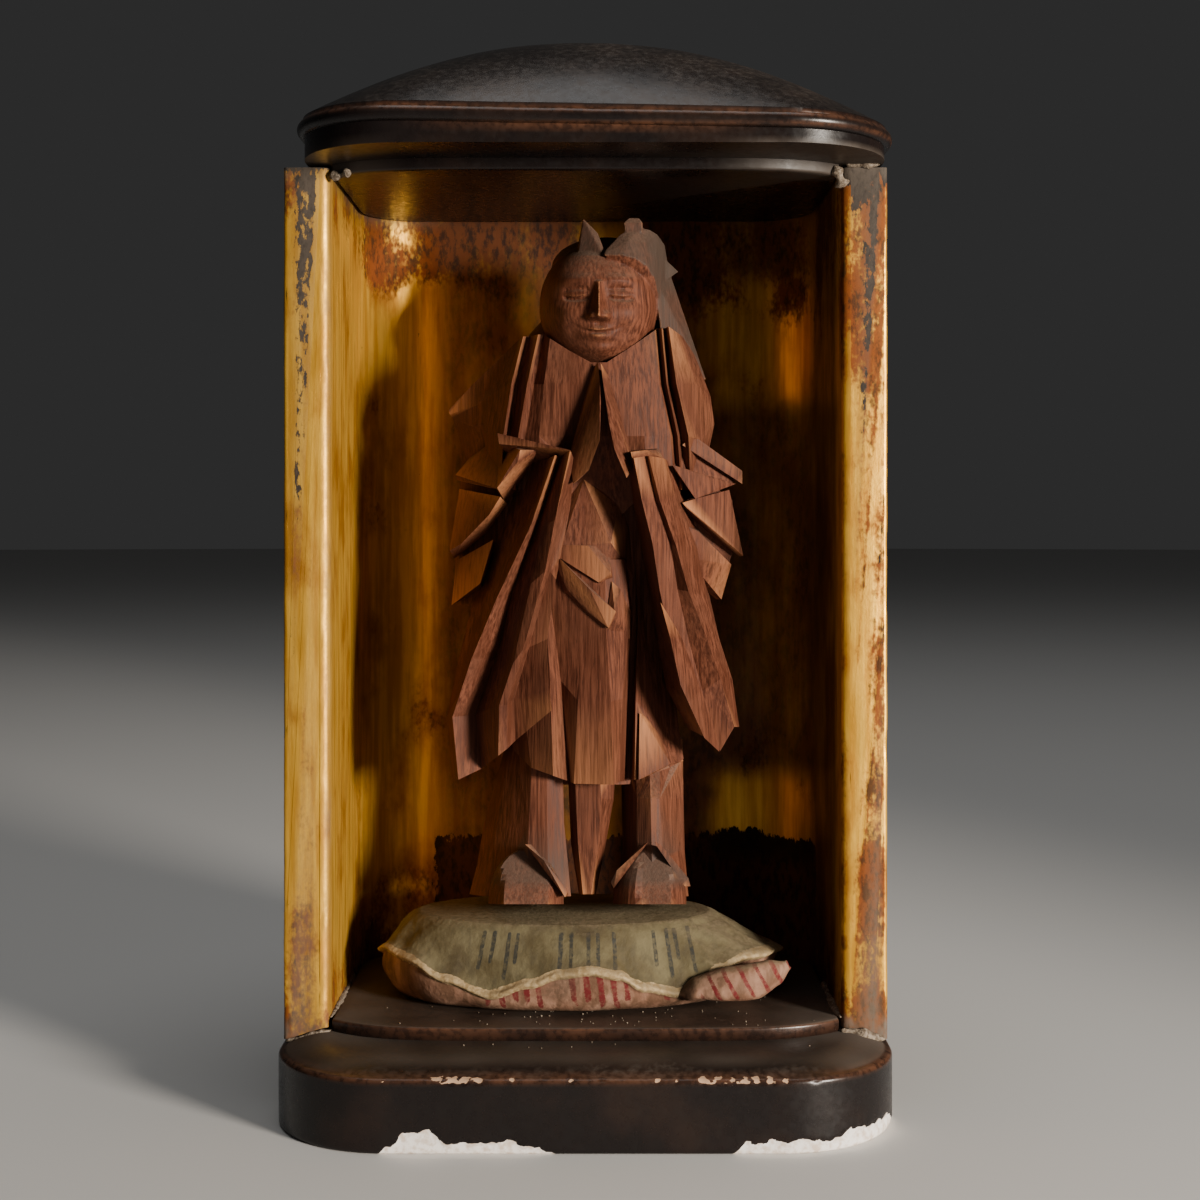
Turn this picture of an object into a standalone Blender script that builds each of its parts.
"""Small portable shrine cabinet with a carved standing figure.

Metres, +Z up, the open front faces -Y, origin under the middle of the base.
Five pieces: a crowned base with a raised floor, a horseshoe wall, a domed
roof with a moulded rim, a lotus-leaf stand and the robed figure on it.
"""
import math

import bmesh
import bpy
from mathutils import Matrix, Vector

MM = 0.001

# Clearance kept between neighbouring pieces
GAP = 0.3 * MM

# Wall and room
BODY_WIDTH = 64.0 * MM
WALL = 4.9 * MM
ROOM_DEPTH = 31.4 * MM
ROOM_HEIGHT = 89.1 * MM
CORNER_RADIUS = 12.3 * MM
WALL_ARRIS = 0.9 * MM

# Base: a low block whose top rises inwards to a flat ledge, with the floor as a step on it
BASE_LIP = 0.2 * MM
FRONT_LEDGE = 13.1 * MM
BASE_EDGE_HEIGHT = 7.5 * MM
CROWN_RISE = 1.25 * MM
BASE_ARRIS = 0.5 * MM
FLOOR_STEP = 1.35 * MM
STEP_BOW = 3.9 * MM
STEP_SQUARENESS = 6.0

# Roof: stop under the neck, neck, rim bead and dome, a little askew as on the real one
STOP_DROP = 1.2 * MM
NECK_HEIGHT = 1.8 * MM
NECK_INSET = 0.8 * MM
RIM_HEIGHT = 1.6 * MM
ROOF_MARGIN = 0.3 * MM
ROOF_NARROWING = 1.9 * MM
ROOF_SLOPE = 0.018
DOME_RISE = 11.2 * MM
DOME_POWER = 2.35

# Leaf stand
STAND_WIDTH = 45.6 * MM
STAND_DEPTH = 24.6 * MM
STAND_HEIGHT = 9.0 * MM
STAND_FRONT = 0.4 * MM
STAND_TOP_WIDTH = 35.4 * MM
STAND_TOP_DEPTH = 17.6 * MM
LEAF_WAVE = 1.45 * MM
LEAF_WAVE_PITCH = 20.0 * MM
LEAF_LIP = 0.8 * MM
CURL_LENGTH = 12.0 * MM

# Figure
FIGURE_HEIGHT = 76.9 * MM
FIGURE_X = 1.4 * MM
FIGURE_SETBACK = 11.6 * MM

# Carving of the figure, as shares of its height: drape rows are inner and outer edge,
# front, back, height and how far the outer edge hangs below the inner one
SLEEVE_LEFT = (
    (0.034, 0.140, 0.104, 0.010, 0.660, -0.02),
    (0.038, 0.152, 0.112, 0.000, 0.560, 0.02),
    (0.050, 0.172, 0.116, -0.004, 0.420, 0.06),
    (0.062, 0.206, 0.112, 0.000, 0.275, 0.09),
    (0.070, 0.207, 0.100, 0.004, 0.236, 0.10),
)
SLEEVE_RIGHT = (
    (0.052, 0.146, 0.104, 0.010, 0.660, -0.02),
    (0.066, 0.156, 0.112, 0.000, 0.560, 0.02),
    (0.088, 0.176, 0.114, -0.004, 0.420, 0.03),
    (0.118, 0.200, 0.108, 0.000, 0.275, 0.01),
    (0.140, 0.196, 0.098, 0.004, 0.235, 0.02),
)
SLEEVE_FOLD = 0.020
ROBE_FOLD = 0.016
ELBOW_FOLDS = 3
ELBOW_FOLD_PITCH = 0.072

# Places worked out from the sizes above
BASE_WIDTH = BODY_WIDTH + 2 * BASE_LIP
BASE_DEPTH = FRONT_LEDGE + ROOM_DEPTH + WALL + BASE_LIP
BASE_RADIUS = CORNER_RADIUS + BASE_LIP
WALL_FRONT_Y = -BASE_DEPTH / 2 + FRONT_LEDGE
BACK_INNER_Y = WALL_FRONT_Y + ROOM_DEPTH
BACK_OUTER_Y = BACK_INNER_Y + WALL
LEDGE_Z = BASE_EDGE_HEIGHT + CROWN_RISE
FLOOR_Z = LEDGE_Z + FLOOR_STEP
CEILING_Z = FLOOR_Z + ROOM_HEIGHT
NECK_Z = CEILING_Z + STOP_DROP
RIM_Z = NECK_Z + NECK_HEIGHT
DOME_Z = RIM_Z + RIM_HEIGHT
ROOF_WIDTH = BASE_WIDTH - ROOF_NARROWING
ROOF_SHIFT = ROOF_NARROWING / 2
ROOF_DEPTH = BASE_DEPTH - 2 * ROOF_MARGIN
CROWN_RUN = WALL + BASE_LIP
STAND_Y = WALL_FRONT_Y - STAND_FRONT + STAND_DEPTH / 2
STAND_Z = FLOOR_Z + GAP
STAND_X = -0.018 * STAND_WIDTH
FIGURE_Y = WALL_FRONT_Y + FIGURE_SETBACK
FIGURE_Z = STAND_Z + STAND_HEIGHT + GAP

ARC_STEPS = 7
SIDE_STEPS = 6


def clear_scene():
    for item in list(bpy.data.objects):
        bpy.data.objects.remove(item, do_unlink=True)


def make_collection(name):
    collection = bpy.data.collections.new(name)
    bpy.context.scene.collection.children.link(collection)
    return collection


def make_material(name, colour, roughness, metallic):
    material = bpy.data.materials.new(name)
    material.use_nodes = True
    shader = material.node_tree.nodes["Principled BSDF"]
    shader.inputs["Base Color"].default_value = (*colour, 1.0)
    shader.inputs["Roughness"].default_value = roughness
    shader.inputs["Metallic"].default_value = metallic
    return material


def add_object(name, bm, collection, material=None):
    bmesh.ops.recalc_face_normals(bm, faces=bm.faces)
    mesh = bpy.data.meshes.new(name)
    bm.to_mesh(mesh)
    bm.free()
    item = bpy.data.objects.new(name, mesh)
    collection.objects.link(item)
    if material:
        mesh.materials.append(material)
    return item


def add_cutter(name, bm, collection):
    item = add_object(name, bm, collection)
    item.hide_render = True
    item.display_type = "WIRE"
    return item


def join_shape(target, other):
    """Boolean union of a hidden shape into a visible piece."""
    union = target.modifiers.new("join " + other.name, "BOOLEAN")
    union.operation = "UNION"
    union.solver = "EXACT"
    union.object = other


def loft(bm, sections, closed_ends=True):
    """Skin a row of loops that all have the same number of points."""
    rows = [[bm.verts.new(point) for point in section] for section in sections]
    count = len(rows[0])
    for lower, upper in zip(rows, rows[1:]):
        for index in range(count):
            following = (index + 1) % count
            bm.faces.new((lower[index], lower[following], upper[following], upper[index]))
    if closed_ends:
        bm.faces.new(list(reversed(rows[0])))
        bm.faces.new(rows[-1])
    return rows


def rounded_points(width, depth, radius):
    """Points round a rectangle with rounded corners, centred on the origin."""
    radius = min(radius, width / 2, depth / 2)
    points = []
    corners = ((1, -1, -90), (1, 1, 0), (-1, 1, 90), (-1, -1, 180))
    for side_x, side_y, start in corners:
        centre = Vector((side_x * (width / 2 - radius), side_y * (depth / 2 - radius)))
        for step in range(ARC_STEPS + 1):
            angle = math.radians(start + 90 * step / ARC_STEPS)
            points.append(centre + radius * Vector((math.cos(angle), math.sin(angle))))
    filled = []
    for index, point in enumerate(points):
        filled.append(point)
        if index % (ARC_STEPS + 1) == ARC_STEPS:
            following = points[(index + 1) % len(points)]
            for step in range(1, SIDE_STEPS):
                filled.append(point.lerp(following, step / SIDE_STEPS))
    return filled


def step_points(clearance):
    """Outline of the floor and of the stop: fits between the walls and bows out in front."""
    half = BODY_WIDTH / 2 - WALL - clearance
    radius = CORNER_RADIUS - WALL - clearance
    back = BACK_INNER_Y - clearance
    points = []
    for side in (1, -1):
        centre = Vector((side * (half - radius), back - radius))
        for step in range(ARC_STEPS + 1):
            turn = step if side > 0 else ARC_STEPS - step
            angle = math.radians(90 * turn / ARC_STEPS)
            points.append(centre + radius * Vector((side * math.cos(angle), math.sin(angle))))
    bow_steps = 4 * SIDE_STEPS
    for step in range(bow_steps + 1):
        turn = math.pi * step / bow_steps
        share = -math.cos(turn)
        bow = STEP_BOW * (1 - abs(share) ** STEP_SQUARENESS)
        points.append(Vector((share * half, WALL_FRONT_Y - bow)))
    return points


def raised(points, height):
    return [Vector((point.x, point.y, height)) for point in points]


def build_base(parts, cutters, lacquer):
    bm = bmesh.new()
    bmesh.ops.create_cube(bm, size=1.0)
    bmesh.ops.scale(bm, verts=bm.verts, vec=(BASE_WIDTH, BASE_DEPTH, BASE_EDGE_HEIGHT))
    bmesh.ops.translate(bm, verts=bm.verts, vec=(0, 0, BASE_EDGE_HEIGHT / 2))
    upright = [edge for edge in bm.edges if abs(edge.verts[0].co.z - edge.verts[1].co.z) > MM]
    bmesh.ops.bevel(bm, geom=upright, offset=BASE_RADIUS, segments=2 * ARC_STEPS,
                    profile=0.5, affect="EDGES", material=-1)
    bm.normal_update()
    top = max(bm.faces, key=lambda face: face.calc_center_median().z)
    bottom = min(bm.faces, key=lambda face: face.calc_center_median().z)
    arrises = list(top.edges) + list(bottom.edges)
    bmesh.ops.bevel(bm, geom=arrises, offset=BASE_ARRIS, segments=2,
                    profile=0.5, affect="EDGES", material=-1)
    bm.normal_update()
    top = max(bm.faces, key=lambda face: face.calc_center_median().z)
    bmesh.ops.inset_region(bm, faces=[top], thickness=CROWN_RUN - BASE_ARRIS,
                           depth=CROWN_RISE, use_even_offset=True)
    base = add_object("base", bm, parts, lacquer)

    bm = bmesh.new()
    outline = step_points(GAP)
    loft(bm, [raised(outline, LEDGE_Z - BASE_ARRIS), raised(outline, FLOOR_Z)])
    join_shape(base, add_cutter("floor step", bm, cutters))
    return base


def horseshoe_path():
    """Outer and inner plan points of the wall, from the left front to the right front."""
    inner_radius = CORNER_RADIUS - WALL
    half = BODY_WIDTH / 2
    pairs = [(Vector((-half, WALL_FRONT_Y)), Vector((-half + WALL, WALL_FRONT_Y)))]
    for side, start in ((-1, 180), (1, 90)):
        centre = Vector((side * (half - CORNER_RADIUS), BACK_OUTER_Y - CORNER_RADIUS))
        for step in range(ARC_STEPS + 1):
            angle = math.radians(start - 90 * step / ARC_STEPS)
            way = Vector((math.cos(angle), math.sin(angle)))
            pairs.append((centre + CORNER_RADIUS * way, centre + inner_radius * way))
    pairs.append((Vector((half, WALL_FRONT_Y)), Vector((half - WALL, WALL_FRONT_Y))))
    return pairs


def build_wall(parts, gilt):
    top_z = NECK_Z - GAP
    inner_foot = LEDGE_Z + GAP
    outer_foot = BASE_EDGE_HEIGHT + CROWN_RISE * BASE_LIP / CROWN_RUN + GAP
    bm = bmesh.new()
    sections = []
    for outer, inner in horseshoe_path():
        sections.append((
            Vector((outer.x, outer.y, outer_foot)),
            Vector((outer.x, outer.y, top_z)),
            Vector((inner.x, inner.y, top_z)),
            Vector((inner.x, inner.y, inner_foot)),
        ))
    rows = loft(bm, sections)
    inner_arrises = []
    for row in (rows[0], rows[-1]):
        inner_arrises.append(bm.edges.get((row[2], row[3])))
    bmesh.ops.bevel(bm, geom=inner_arrises, offset=WALL_ARRIS, segments=4,
                    profile=0.5, affect="EDGES", material=-1)
    return add_object("body_shell", bm, parts, gilt)


def dome_ring(outline, share):
    """A ring of the dome: the roof's own outline near the rim, an oval near the top."""
    half_width = ROOF_WIDTH / 2
    half_depth = ROOF_DEPTH / 2
    height = DOME_Z + DOME_RISE * (1 - share ** DOME_POWER)
    ring = []
    for point in outline:
        angle = math.atan2(point.y / half_depth, point.x / half_width)
        oval = Vector((half_width * math.cos(angle), half_depth * math.sin(angle)))
        plan = oval.lerp(point, share ** 2) * share
        ring.append(Vector((plan.x, plan.y, height)))
    return ring


def build_roof(parts, cutters, lacquer):
    bm = bmesh.new()
    plan_radius = CORNER_RADIUS
    rim_profile = (
        (NECK_INSET, NECK_Z),
        (NECK_INSET, RIM_Z),
        (0.12 * NECK_INSET, RIM_Z + 0.12 * RIM_HEIGHT),
        (0.0, RIM_Z + 0.45 * RIM_HEIGHT),
        (0.12 * NECK_INSET, RIM_Z + 0.8 * RIM_HEIGHT),
    )
    rings = []
    for inset, height in rim_profile:
        points = rounded_points(ROOF_WIDTH - 2 * inset, ROOF_DEPTH - 2 * inset, plan_radius - inset)
        rings.append(raised(points, height))
    outline = rounded_points(ROOF_WIDTH, ROOF_DEPTH, plan_radius)
    dome_steps = 12
    for step in range(dome_steps):
        share = math.cos(0.5 * math.pi * step / dome_steps)
        rings.append(dome_ring(outline, 0.985 * share))
    loft(bm, rings)
    for vert in bm.verts:
        lift = min(1.0, (vert.co.z - NECK_Z) / NECK_HEIGHT)
        vert.co.z -= ROOF_SLOPE * vert.co.x * lift
        vert.co.x += ROOF_SHIFT
    roof = add_object("roof", bm, parts, lacquer)

    bm = bmesh.new()
    outline = step_points(GAP)
    loft(bm, [raised(outline, CEILING_Z), raised(outline, NECK_Z + NECK_HEIGHT / 2)])
    join_shape(roof, add_cutter("door stop", bm, cutters))
    return roof


def leaf_ring(half_width, half_depth, shift, height, wave, steps=64):
    """An oval ring of the leaf whose height follows the leaf's wave along X."""
    ring = []
    for step in range(steps):
        angle = 2 * math.pi * step / steps
        x = shift + half_width * math.cos(angle)
        y = half_depth * math.sin(angle)
        rise = wave * math.cos(2 * math.pi * (x - 0.03 * STAND_WIDTH) / LEAF_WAVE_PITCH)
        ring.append(Vector((STAND_X + x, STAND_Y + y, STAND_Z + height + rise)))
    return ring


def build_stand(parts, cutters, paint):
    half_width = STAND_WIDTH / 2
    half_depth = STAND_DEPTH / 2
    top_width = STAND_TOP_WIDTH / 2
    top_depth = STAND_TOP_DEPTH / 2
    top_shift = -0.035 * STAND_WIDTH
    rim_height = 0.33 * STAND_HEIGHT
    bm = bmesh.new()
    rings = [
        leaf_ring(0.80 * half_width, 0.86 * half_depth, top_shift, 0.0, 0.0),
        leaf_ring(0.90 * half_width, 0.92 * half_depth, 0.3 * top_shift, 0.14 * STAND_HEIGHT, 0.0),
        leaf_ring(0.94 * half_width, 0.955 * half_depth, 0.0, rim_height - LEAF_LIP, 0.8 * LEAF_WAVE),
        leaf_ring(half_width, half_depth, 0.0, rim_height - 0.3 * LEAF_LIP, LEAF_WAVE),
        leaf_ring(0.99 * half_width, 0.985 * half_depth, 0.0, rim_height + 0.5 * LEAF_LIP, LEAF_WAVE),
        leaf_ring(0.91 * half_width, 0.90 * half_depth, 0.3 * top_shift, 0.62 * STAND_HEIGHT, 0.4 * LEAF_WAVE),
        leaf_ring(1.03 * top_width, 1.08 * top_depth, top_shift, 0.86 * STAND_HEIGHT, 0.0),
        leaf_ring(top_width, top_depth, top_shift, 0.95 * STAND_HEIGHT, 0.0),
        leaf_ring(0.86 * top_width, 0.84 * top_depth, top_shift, STAND_HEIGHT, 0.0),
    ]
    loft(bm, rings)
    stand = add_object("leaf_stand", bm, parts, paint)

    bm = bmesh.new()
    bmesh.ops.create_uvsphere(bm, u_segments=20, v_segments=12, radius=1.0)
    size = Vector((CURL_LENGTH / 2, 0.25 * CURL_LENGTH, 0.19 * CURL_LENGTH))
    bmesh.ops.scale(bm, verts=bm.verts, vec=size)
    turn = Matrix.Rotation(math.radians(-14), 3, "Y")
    bmesh.ops.rotate(bm, verts=bm.verts, cent=(0, 0, 0), matrix=turn)
    lowest = min(vert.co.z for vert in bm.verts)
    place = Vector((STAND_X + half_width - 0.46 * CURL_LENGTH,
                    STAND_Y - 0.80 * half_depth, STAND_Z - lowest))
    bmesh.ops.translate(bm, verts=bm.verts, vec=place)
    join_shape(stand, add_cutter("curled leaf tip", bm, cutters))
    return stand


def at(across, forward, height):
    """A point of the figure: across to +X, forward to the open front, height from its soles.

    All three are shares of the figure's height.
    """
    return Vector((FIGURE_X + across * FIGURE_HEIGHT,
                   FIGURE_Y - forward * FIGURE_HEIGHT,
                   FIGURE_Z + height * FIGURE_HEIGHT))


def folded_section(left, right, front, back, height, folds, fold_depth, tilt=0.0):
    """A flat-backed oval section whose front runs in sharp folds."""
    points = []
    steps = 2 * folds
    for step in range(steps + 1):
        share = step / steps
        across = left + (right - left) * share
        bulge = math.sin(math.pi * (0.08 + 0.84 * share))
        crease = fold_depth if step % 2 else 0.0
        forward = back + (front - back) * bulge ** 0.6 - crease
        points.append(at(across, forward, height + tilt * (share - 0.5)))
    back_steps = 6
    for step in range(1, back_steps):
        share = 1 - step / back_steps
        across = left + (right - left) * share
        bulge = math.sin(math.pi * share)
        forward = back - 0.45 * (front - back) * bulge ** 0.6
        points.append(at(across, forward, height + tilt * (share - 0.5)))
    return points


def folded_form(name, sections, folds, fold_depth, cutters):
    """A form of carved cloth, skinned through rows of (left, right, front, back, height, tilt)."""
    bm = bmesh.new()
    rows = []
    for index, row in enumerate(sections):
        left, right, front, back, height, tilt = row
        growth = fold_depth * (0.35 + 0.65 * index / (len(sections) - 1))
        rows.append(folded_section(left, right, front, back, height, folds, growth, tilt))
    loft(bm, rows)
    return add_cutter(name, bm, cutters)


def blade(name, top, foot, widths, depths, cutters):
    """A long tapered ridge of cloth or wood from top to foot, with its sharp edge in front."""
    bm = bmesh.new()
    rows = []
    for centre, width, depth in zip((top, foot), widths, depths):
        across, forward, height = centre
        rows.append((
            at(across - width / 2, forward - depth, height),
            at(across + width / 2, forward - depth, height),
            at(across + width / 2, forward - 0.35 * depth, height),
            at(across, forward, height),
            at(across - width / 2, forward - 0.35 * depth, height),
        ))
    loft(bm, rows)
    return add_cutter(name, bm, cutters)


def block(name, corners, cutters):
    """The convex solid round a few corner points."""
    bm = bmesh.new()
    for corner in corners:
        bm.verts.new(at(*corner))
    result = bmesh.ops.convex_hull(bm, input=bm.verts)
    loose = {item for item in result["geom_interior"] if isinstance(item, bmesh.types.BMVert)}
    bmesh.ops.delete(bm, geom=list(loose), context="VERTS")
    return add_cutter(name, bm, cutters)


def ball(name, centre, size, cutters, segments=20):
    bm = bmesh.new()
    bmesh.ops.create_uvsphere(bm, u_segments=segments, v_segments=segments // 2 + 2, radius=1.0)
    bmesh.ops.scale(bm, verts=bm.verts, vec=[share * FIGURE_HEIGHT for share in size])
    bmesh.ops.translate(bm, verts=bm.verts, vec=at(*centre))
    return add_cutter(name, bm, cutters)


def sleeve_shapes(side, cutters):
    """One hanging sleeve with its long folds, and the short folds stacked at the elbow."""
    name = "right" if side > 0 else "left"
    drape = SLEEVE_RIGHT if side > 0 else SLEEVE_LEFT
    rows = []
    for inner, outer, front, back, height, tilt in drape:
        edges = sorted((side * inner, side * outer))
        rows.append((edges[0], edges[1], front, back, height, -side * tilt))
    shapes = [folded_form(name + " sleeve", rows, 4, SLEEVE_FOLD, cutters)]
    for step in range(ELBOW_FOLDS):
        top = 0.676 - ELBOW_FOLD_PITCH * step
        reach = 0.208 - 0.006 * step
        shapes.append(block("%s elbow fold %d" % (name, step), (
            (side * 0.120, 0.085, top),
            (side * 0.115, -0.030, top - 0.004),
            (side * 0.150, 0.080, top - 0.004),
            (side * 0.168, -0.020, top - 0.012),
            (side * reach, 0.050, top - 0.060),
            (side * reach, -0.012, top - 0.066),
            (side * 0.150, 0.092, top - 0.085),
            (side * 0.120, 0.080, top - 0.100),
            (side * 0.120, -0.020, top - 0.100),
        ), cutters))
    return shapes


def leg_shapes(side, cutters):
    """A trouser leg with upright folds, and the foot under it."""
    name = "right" if side > 0 else "left"
    flare = 0.0 if side > 0 else 0.055
    rows = []
    for inner, outer, front, back, height in (
        (0.020, 0.112, 0.062, -0.034, 0.30),
        (0.026, 0.122 + 0.4 * flare, 0.070, -0.040, 0.14),
        (0.030, 0.128 + flare, 0.066, -0.042, 0.012),
    ):
        edges = sorted((side * inner, side * outer))
        rows.append((edges[0], edges[1], front, back, height, 0.0))
    leg = folded_form(name + " leg", rows, 3, 0.012, cutters)
    foot = block(name + " foot", (
        (side * 0.030, 0.112, 0.000),
        (side * 0.120, 0.112, 0.000),
        (side * 0.044, 0.117, 0.022),
        (side * 0.104, 0.117, 0.022),
        (side * 0.056, 0.080, 0.068),
        (side * 0.096, 0.080, 0.068),
        (side * 0.020, 0.020, 0.000),
        (side * 0.134, 0.020, 0.000),
        (side * 0.050, 0.020, 0.066),
        (side * 0.106, 0.020, 0.066),
    ), cutters)
    return [leg, foot]


def head_shapes(cutters):
    """An egg-shaped head with brow, nose and chin planes, and the cleft hat with its tail."""
    return [
        ball("head", (0.001, 0.006, 0.866), (0.083, 0.080, 0.094), cutters, 24),
        block("brow", (
            (-0.058, 0.050, 0.903), (0.060, 0.050, 0.903), (-0.036, 0.080, 0.903),
            (0.038, 0.080, 0.903), (-0.044, 0.060, 0.944), (0.046, 0.060, 0.944),
            (-0.050, 0.020, 0.948), (0.052, 0.020, 0.948), (0.001, 0.030, 0.890),
        ), cutters),
        block("nose", (
            (-0.015, 0.078, 0.856), (0.017, 0.078, 0.856), (0.001, 0.105, 0.860),
            (-0.006, 0.084, 0.902), (0.008, 0.084, 0.902), (0.001, 0.030, 0.870),
        ), cutters),
        block("chin", (
            (-0.030, 0.070, 0.812), (0.032, 0.070, 0.812), (0.001, 0.086, 0.806),
            (-0.022, 0.060, 0.786), (0.024, 0.060, 0.786), (0.001, 0.020, 0.800),
        ), cutters),
        ball("hat crown", (0.056, -0.004, 0.940), (0.050, 0.066, 0.050), cutters),
        block("hat leaf", (
            (-0.074, 0.030, 0.925), (-0.004, 0.058, 0.940), (-0.072, -0.050, 0.925),
            (0.010, -0.055, 0.925), (-0.044, 0.046, 0.940), (-0.042, 0.030, 0.998),
            (-0.020, 0.020, 0.975), (-0.040, -0.030, 0.990), (-0.004, 0.000, 0.950),
        ), cutters),
        ball("hat knob", (0.042, 0.016, 0.986), (0.014, 0.014, 0.014), cutters, 10),
        block("hat tail", (
            (0.060, 0.040, 0.900), (0.104, 0.014, 0.940), (0.112, 0.008, 0.928),
            (0.060, -0.066, 0.940), (0.100, -0.040, 0.860), (0.136, 0.010, 0.770),
            (0.166, -0.030, 0.700), (0.080, -0.068, 0.720), (0.085, 0.040, 0.780),
        ), cutters),
    ]


def build_figure(parts, cutters, wood):
    robe_rows = (
        (-0.072, 0.074, 0.050, -0.048, 0.830, 0.0),
        (-0.140, 0.112, 0.062, -0.064, 0.775, 0.0),
        (-0.200, 0.160, 0.070, -0.076, 0.716, 0.0),
        (-0.170, 0.158, 0.074, -0.078, 0.660, 0.0),
        (-0.150, 0.146, 0.068, -0.076, 0.560, 0.0),
        (-0.132, 0.124, 0.072, -0.074, 0.440, 0.0),
        (-0.132, 0.126, 0.082, -0.076, 0.300, 0.02),
        (-0.136, 0.128, 0.088, -0.078, 0.168, 0.02),
    )
    bm = bmesh.new()
    rows = []
    for index, (left, right, front, back, height, tilt) in enumerate(robe_rows):
        growth = ROBE_FOLD * index / (len(robe_rows) - 1)
        rows.append(folded_section(left, right, front, back, height, 6, growth, tilt))
    loft(bm, rows)
    figure = add_object("figure", bm, parts, wood)

    shapes = head_shapes(cutters)
    shapes.append(block("centre panel", (
        (-0.050, 0.060, 0.010), (0.022, 0.060, 0.010), (-0.040, 0.078, 0.240),
        (0.018, 0.078, 0.240), (-0.050, -0.030, 0.010), (0.022, -0.030, 0.010),
        (-0.040, -0.030, 0.240), (0.018, -0.030, 0.240), (-0.014, 0.074, 0.010),
    ), cutters))
    for step in range(2):
        drop = 0.045 * step
        shapes.append(block("sash fold %d" % step, (
            (-0.080, 0.074, 0.545 - drop), (-0.064, 0.086, 0.522 - drop),
            (0.040, 0.089, 0.482 - drop), (0.052, 0.076, 0.456 - drop),
            (-0.060, 0.070, 0.500 - drop), (-0.060, 0.000, 0.520 - drop),
            (0.060, 0.000, 0.450 - drop),
        ), cutters))
    for side in (-1, 1):
        shapes += sleeve_shapes(side, cutters)
        shapes += leg_shapes(side, cutters)
        shapes.append(blade("hand %d" % side,
                            (side * 0.005, 0.112, 0.780), (side * 0.032, 0.128, 0.612),
                            (0.012, 0.036), (0.060, 0.090), cutters))
        for band in range(2):
            across = side * (0.090 + 0.020 * band)
            shapes.append(blade("stole %d %d" % (side, band),
                                (across * 0.88, 0.064, 0.830), (across * 1.20, 0.084, 0.660),
                                (0.011, 0.012), (0.030, 0.040), cutters))
    for ridge in range(3):
        across = -0.066 + 0.046 * ridge
        shapes.append(blade("apron fold %d" % ridge,
                            (across + 0.012, 0.082, 0.490), (across - 0.002, 0.102, 0.166),
                            (0.010, 0.040), (0.060, 0.070), cutters))
    for shape in shapes:
        join_shape(figure, shape)
    return figure


def main():
    clear_scene()
    parts = make_collection("shrine_cabinet")
    cutters = make_collection("hidden shapes")
    lacquer = make_material("black lacquer", (0.020, 0.014, 0.012), 0.28, 0.0)
    gilt = make_material("worn gilding", (0.62, 0.40, 0.12), 0.38, 0.8)
    paint = make_material("grey green leaf paint", (0.34, 0.31, 0.22), 0.75, 0.0)
    wood = make_material("red brown carved wood", (0.30, 0.13, 0.08), 0.6, 0.0)
    build_base(parts, cutters, lacquer)
    build_wall(parts, gilt)
    build_roof(parts, cutters, lacquer)
    build_stand(parts, cutters, paint)
    build_figure(parts, cutters, wood)


main()
